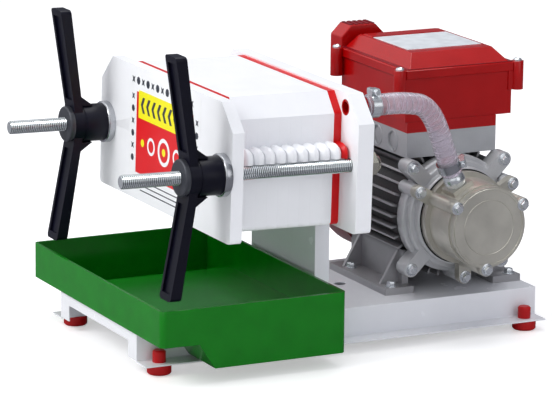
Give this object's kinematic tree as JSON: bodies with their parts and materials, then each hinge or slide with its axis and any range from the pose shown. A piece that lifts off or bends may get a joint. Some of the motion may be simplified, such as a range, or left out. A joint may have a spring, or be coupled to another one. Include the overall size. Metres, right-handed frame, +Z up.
{
  "type": "plate filter press",
  "caption": "Bench plate filter press: stacked plates clamped on two threaded rods by two-armed handles, with a drip tray, a motor pump and its switch box.",
  "frame": {"origin": "on the floor, under the middle of the press's overall length and width", "axes": "+X from the handles to the motor, +Y to the fan end of the motor, +Z up"},
  "size_m": [0.483, 0.314, 0.318],
  "materials": {
    "white_paint": "gloss powder coat",
    "red_rubber": "satin rubber",
    "green_plastic": "glossy moulding",
    "white_plastic": "satin moulding",
    "red_plastic": "glossy moulding",
    "black_plastic": "fine grained moulding",
    "zinc_steel": "zinc plated",
    "brass": "nickel-washed brass",
    "cast_aluminium": "satin casting",
    "pump_alloy": "machined bronze alloy, nickel tone",
    "red_paint": "dark red paint",
    "grey_plastic": "satin grey moulding",
    "label_metal": "bare printed plate with no print",
    "clear_hose": "clear ribbed vinyl"
  },
  "bodies": {
    "base": {"base_chassis": "white_paint", "foot_front_near": "red_rubber", "foot_front_far": "red_rubber", "foot_rear_near": "red_rubber", "foot_rear_far": "red_rubber", "drip_tray": "green_plastic", "head_bracket": "white_paint", "head_plate": "white_plastic", "tie_rod_near": "zinc_steel", "tie_rod_far": "zinc_steel", "rod_nut_near": "brass", "rod_nut_far": "brass", "motor_frame": "cast_aluminium", "motor_end_shield": "cast_aluminium", "fan_cover": "red_paint", "pump_body": "pump_alloy", "pump_cover": "pump_alloy", "port_elbow": "zinc_steel", "terminal_base": "grey_plastic", "control_box": "red_plastic", "control_box_lid": "red_plastic", "nameplate": "label_metal", "switch_housing": "red_plastic", "delivery_hose": "clear_hose", "hose_tail": "red_plastic", "hose_clamp_head": "zinc_steel", "hose_clamp_pump": "zinc_steel"},
    "washer_near": {"washer_near": "zinc_steel"},
    "handle_near": {"handle_near": "black_plastic", "handle_insert_near": "zinc_steel"},
    "washer_far": {"washer_far": "zinc_steel"},
    "handle_far": {"handle_far": "black_plastic", "handle_insert_far": "zinc_steel"},
    "pressure_plate": {"pressure_plate": "white_plastic"},
    "red_plate_front": {"red_plate_front": "red_plastic"},
    "filter_plate_1": {"filter_plate_1": "white_plastic"},
    "filter_plate_2": {"filter_plate_2": "white_plastic"},
    "filter_plate_3": {"filter_plate_3": "white_plastic"},
    "filter_plate_4": {"filter_plate_4": "white_plastic"},
    "filter_plate_5": {"filter_plate_5": "white_plastic"},
    "filter_plate_6": {"filter_plate_6": "white_plastic"},
    "filter_plate_7": {"filter_plate_7": "white_plastic"},
    "filter_plate_8": {"filter_plate_8": "white_plastic"},
    "filter_plate_9": {"filter_plate_9": "white_plastic"},
    "red_plate_rear": {"red_plate_rear": "red_plastic"}
  },
  "joints": [
    {"name": "washer_near_slide", "type": "slide", "parent": "base", "child": "washer_near", "axis": [-0.9998, 0, 0.0209], "range_m": [0, 0.036]},
    {"name": "handle_near_turn", "type": "hinge", "parent": "washer_near", "child": "handle_near", "pos_m": [0.0015, -0.136, 0.196], "axis": [-0.9998, 0, 0.0209], "range_deg": [0, 6480]},
    {"name": "washer_far_slide", "type": "slide", "parent": "base", "child": "washer_far", "axis": [-0.9998, 0, 0.0209], "range_m": [0, 0.036]},
    {"name": "handle_far_turn", "type": "hinge", "parent": "washer_far", "child": "handle_far", "pos_m": [0.0015, 0.136, 0.196], "axis": [-0.9998, 0, 0.0209], "range_deg": [0, 6480]},
    {"name": "pressure_plate_slide", "type": "slide", "parent": "base", "child": "pressure_plate", "axis": [-0.9998, 0, 0.0209], "range_m": [0, 0.036]},
    {"name": "red_plate_front_slide", "type": "slide", "parent": "base", "child": "red_plate_front", "axis": [-0.9998, 0, 0.0209], "range_m": [0, 0.033]},
    {"name": "filter_plate_1_slide", "type": "slide", "parent": "base", "child": "filter_plate_1", "axis": [-0.9998, 0, 0.0209], "range_m": [0, 0.03]},
    {"name": "filter_plate_2_slide", "type": "slide", "parent": "base", "child": "filter_plate_2", "axis": [-0.9998, 0, 0.0209], "range_m": [0, 0.027]},
    {"name": "filter_plate_3_slide", "type": "slide", "parent": "base", "child": "filter_plate_3", "axis": [-0.9998, 0, 0.0209], "range_m": [0, 0.024]},
    {"name": "filter_plate_4_slide", "type": "slide", "parent": "base", "child": "filter_plate_4", "axis": [-0.9998, 0, 0.0209], "range_m": [0, 0.021]},
    {"name": "filter_plate_5_slide", "type": "slide", "parent": "base", "child": "filter_plate_5", "axis": [-0.9998, 0, 0.0209], "range_m": [0, 0.018]},
    {"name": "filter_plate_6_slide", "type": "slide", "parent": "base", "child": "filter_plate_6", "axis": [-0.9998, 0, 0.0209], "range_m": [0, 0.015]},
    {"name": "filter_plate_7_slide", "type": "slide", "parent": "base", "child": "filter_plate_7", "axis": [-0.9998, 0, 0.0209], "range_m": [0, 0.012]},
    {"name": "filter_plate_8_slide", "type": "slide", "parent": "base", "child": "filter_plate_8", "axis": [-0.9998, 0, 0.0209], "range_m": [0, 0.009]},
    {"name": "filter_plate_9_slide", "type": "slide", "parent": "base", "child": "filter_plate_9", "axis": [-0.9998, 0, 0.0209], "range_m": [0, 0.006]},
    {"name": "red_plate_rear_slide", "type": "slide", "parent": "base", "child": "red_plate_rear", "axis": [-0.9998, 0, 0.0209], "range_m": [0, 0.003]}
  ],
  "couplings": [
    {"joint": "red_plate_front_slide", "follows": "handle_near_turn", "m_per_rad": 0.00029177},
    {"joint": "filter_plate_1_slide", "follows": "handle_near_turn", "m_per_rad": 0.00026525},
    {"joint": "filter_plate_2_slide", "follows": "handle_near_turn", "m_per_rad": 0.00023872},
    {"joint": "filter_plate_3_slide", "follows": "handle_near_turn", "m_per_rad": 0.0002122},
    {"joint": "filter_plate_4_slide", "follows": "handle_near_turn", "m_per_rad": 0.00018568},
    {"joint": "filter_plate_5_slide", "follows": "handle_near_turn", "m_per_rad": 0.00015915},
    {"joint": "filter_plate_6_slide", "follows": "handle_near_turn", "m_per_rad": 0.00013263},
    {"joint": "filter_plate_7_slide", "follows": "handle_near_turn", "m_per_rad": 0.0001061},
    {"joint": "filter_plate_8_slide", "follows": "handle_near_turn", "m_per_rad": 0.000079575},
    {"joint": "filter_plate_9_slide", "follows": "handle_near_turn", "m_per_rad": 0.00005305},
    {"joint": "red_plate_rear_slide", "follows": "handle_near_turn", "m_per_rad": 0.000026525},
    {"joint": "handle_far_turn", "follows": "handle_near_turn", "ratio": 1},
    {"joint": "washer_near_slide", "follows": "handle_near_turn", "m_per_rad": 0.0003183},
    {"joint": "washer_far_slide", "follows": "handle_near_turn", "m_per_rad": 0.0003183},
    {"joint": "pressure_plate_slide", "follows": "handle_near_turn", "m_per_rad": 0.0003183}
  ]
}
